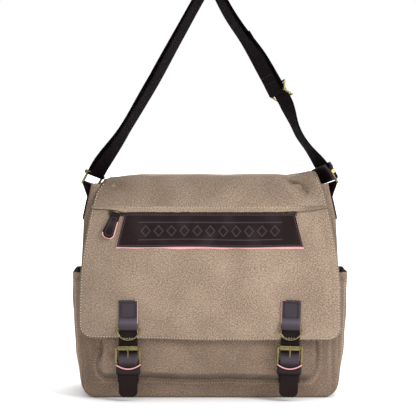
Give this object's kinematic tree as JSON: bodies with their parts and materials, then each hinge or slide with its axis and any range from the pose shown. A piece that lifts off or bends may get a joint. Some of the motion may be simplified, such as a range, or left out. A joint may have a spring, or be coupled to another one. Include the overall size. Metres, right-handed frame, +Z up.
{
  "type": "messenger bag",
  "caption": "Canvas messenger bag with a full front flap, zipped flap pocket, buckled leather closures, side pockets and an adjustable webbing shoulder strap.",
  "frame": {"origin": "centre of the base on the floor", "axes": "+Z up, -Y to the front (flap side), +X to the right seen from the front"},
  "size_m": [0.392, 0.1473, 0.5883],
  "materials": {
    "canvas": "washed cotton canvas, speckled taupe",
    "lining_cloth": "plain woven lining",
    "leather": "smooth dark brown, semi-gloss",
    "pink_edge": "painted raw edge",
    "webbing": "dark cotton webbing",
    "brass": "antique brass, burnished",
    "board": "stiffener board"
  },
  "bodies": {
    "bag": {"front_panel": "canvas", "back_panel": "canvas", "gusset": "canvas", "lining": "lining_cloth", "mouth_facing": "canvas", "base_board": "board", "pocket_panel": "canvas", "pocket_gusset": "canvas", "side_pocket_left": "canvas", "side_pocket_right": "canvas", "side_tab_left": "leather", "side_tab_right": "leather", "snap_socket_left": "brass", "snap_socket_right": "brass"},
    "flap_top": {"flap_crown": "canvas"},
    "flap_front": {"flap_panel": "canvas", "flap_lining": "lining_cloth", "flap_welt": "canvas", "zip_tape": "lining_cloth", "zip_teeth": "brass", "leather_patch": "leather", "patch_backing": "pink_edge", "snap_stud_left": "brass", "snap_stud_right": "brass", "closure_tab_left": "leather", "closure_tab_right": "leather", "closure_strap_left": "leather", "closure_strap_right": "leather", "chape_left": "leather", "chape_right": "leather", "buckle_frame_left": "brass", "buckle_frame_right": "brass"},
    "zip_slider": {"zip_slider": "brass"},
    "zip_puller": {"zip_pull_link": "brass", "zip_puller": "leather"},
    "carry_strap": {"shoulder_strap": "webbing", "strap_end_leather": "leather", "side_ring_left": "brass", "side_ring_right": "brass", "ring_pin_left": "brass", "ring_pin_right": "brass"},
    "adjuster": {"adjuster_frame": "brass", "strap_loop_end": "webbing"},
    "d_ring_left": {"d_ring_left": "brass"},
    "roller_left": {"roller_left": "brass"},
    "prong_left": {"prong_left": "brass"},
    "keeper_left": {"keeper_left": "leather"},
    "d_ring_right": {"d_ring_right": "brass"},
    "roller_right": {"roller_right": "brass"},
    "prong_right": {"prong_right": "brass"},
    "keeper_right": {"keeper_right": "leather"}
  },
  "joints": [
    {"name": "flap_open", "type": "hinge", "parent": "flap_top", "child": "flap_front", "pos_m": [0, -0.036, 0.3052], "axis": [-1, 0, 0], "range_deg": [0, 135]},
    {"name": "crown_lift", "type": "hinge", "parent": "bag", "child": "flap_top", "pos_m": [0, 0.046, 0.3052], "axis": [-1, 0, 0], "range_deg": [0, 26]},
    {"name": "zip_slide", "type": "slide", "parent": "flap_front", "child": "zip_slider", "axis": [1, 0, 0], "range_m": [0, 0.244]},
    {"name": "puller_swing", "type": "hinge", "parent": "zip_slider", "child": "zip_puller", "pos_m": [-0.1315, -0.0503, 0.25979], "axis": [-1, 0, 0], "range_deg": [0, 150]},
    {"name": "d_ring_swing_left", "type": "hinge", "parent": "flap_front", "child": "d_ring_left", "pos_m": [-0.113, -0.07854, 0.10078], "axis": [-1, 0, 0], "range_deg": [0, 100]},
    {"name": "roller_spin_left", "type": "hinge", "parent": "flap_front", "child": "roller_left", "pos_m": [-0.113, -0.08327, 0.07392], "axis": [1, 0, 0], "continuous": true},
    {"name": "prong_lift_left", "type": "hinge", "parent": "flap_front", "child": "prong_left", "pos_m": [-0.113, -0.08078, 0.05393], "axis": [1, 0, 0], "range_deg": [0, 10]},
    {"name": "keeper_slide_left", "type": "slide", "parent": "flap_front", "child": "keeper_left", "axis": [0, -0.061, -0.9981], "range_m": [0, 0.009]},
    {"name": "d_ring_swing_right", "type": "hinge", "parent": "flap_front", "child": "d_ring_right", "pos_m": [0.1117, -0.07854, 0.10081], "axis": [-0.9994, 0, 0.0349], "range_deg": [0, 100]},
    {"name": "roller_spin_right", "type": "hinge", "parent": "flap_front", "child": "roller_right", "pos_m": [0.11076, -0.08327, 0.07396], "axis": [0.9994, 0, -0.0349], "continuous": true},
    {"name": "prong_lift_right", "type": "hinge", "parent": "flap_front", "child": "prong_right", "pos_m": [0.11007, -0.08078, 0.05398], "axis": [0.9994, 0, -0.0349], "range_deg": [0, 10]},
    {"name": "keeper_slide_right", "type": "slide", "parent": "flap_front", "child": "keeper_right", "axis": [-0.0348, -0.061, -0.9975], "range_m": [0, 0.009]},
    {"name": "strap_swing", "type": "hinge", "parent": "bag", "child": "carry_strap", "pos_m": [0, 0, 0.2947], "axis": [-1, 0, 0], "range_deg": [-35, 35], "deforming": ["side_tab_left", "side_tab_right"]},
    {"name": "adjuster_slide", "type": "slide", "parent": "carry_strap", "child": "adjuster", "axis": [-0.4924, 0, 0.8704], "range_m": [-0.025, 0.025]}
  ],
  "couplings": [
    {"joint": "crown_lift", "follows": "flap_open", "ratio": 0.17778}
  ]
}
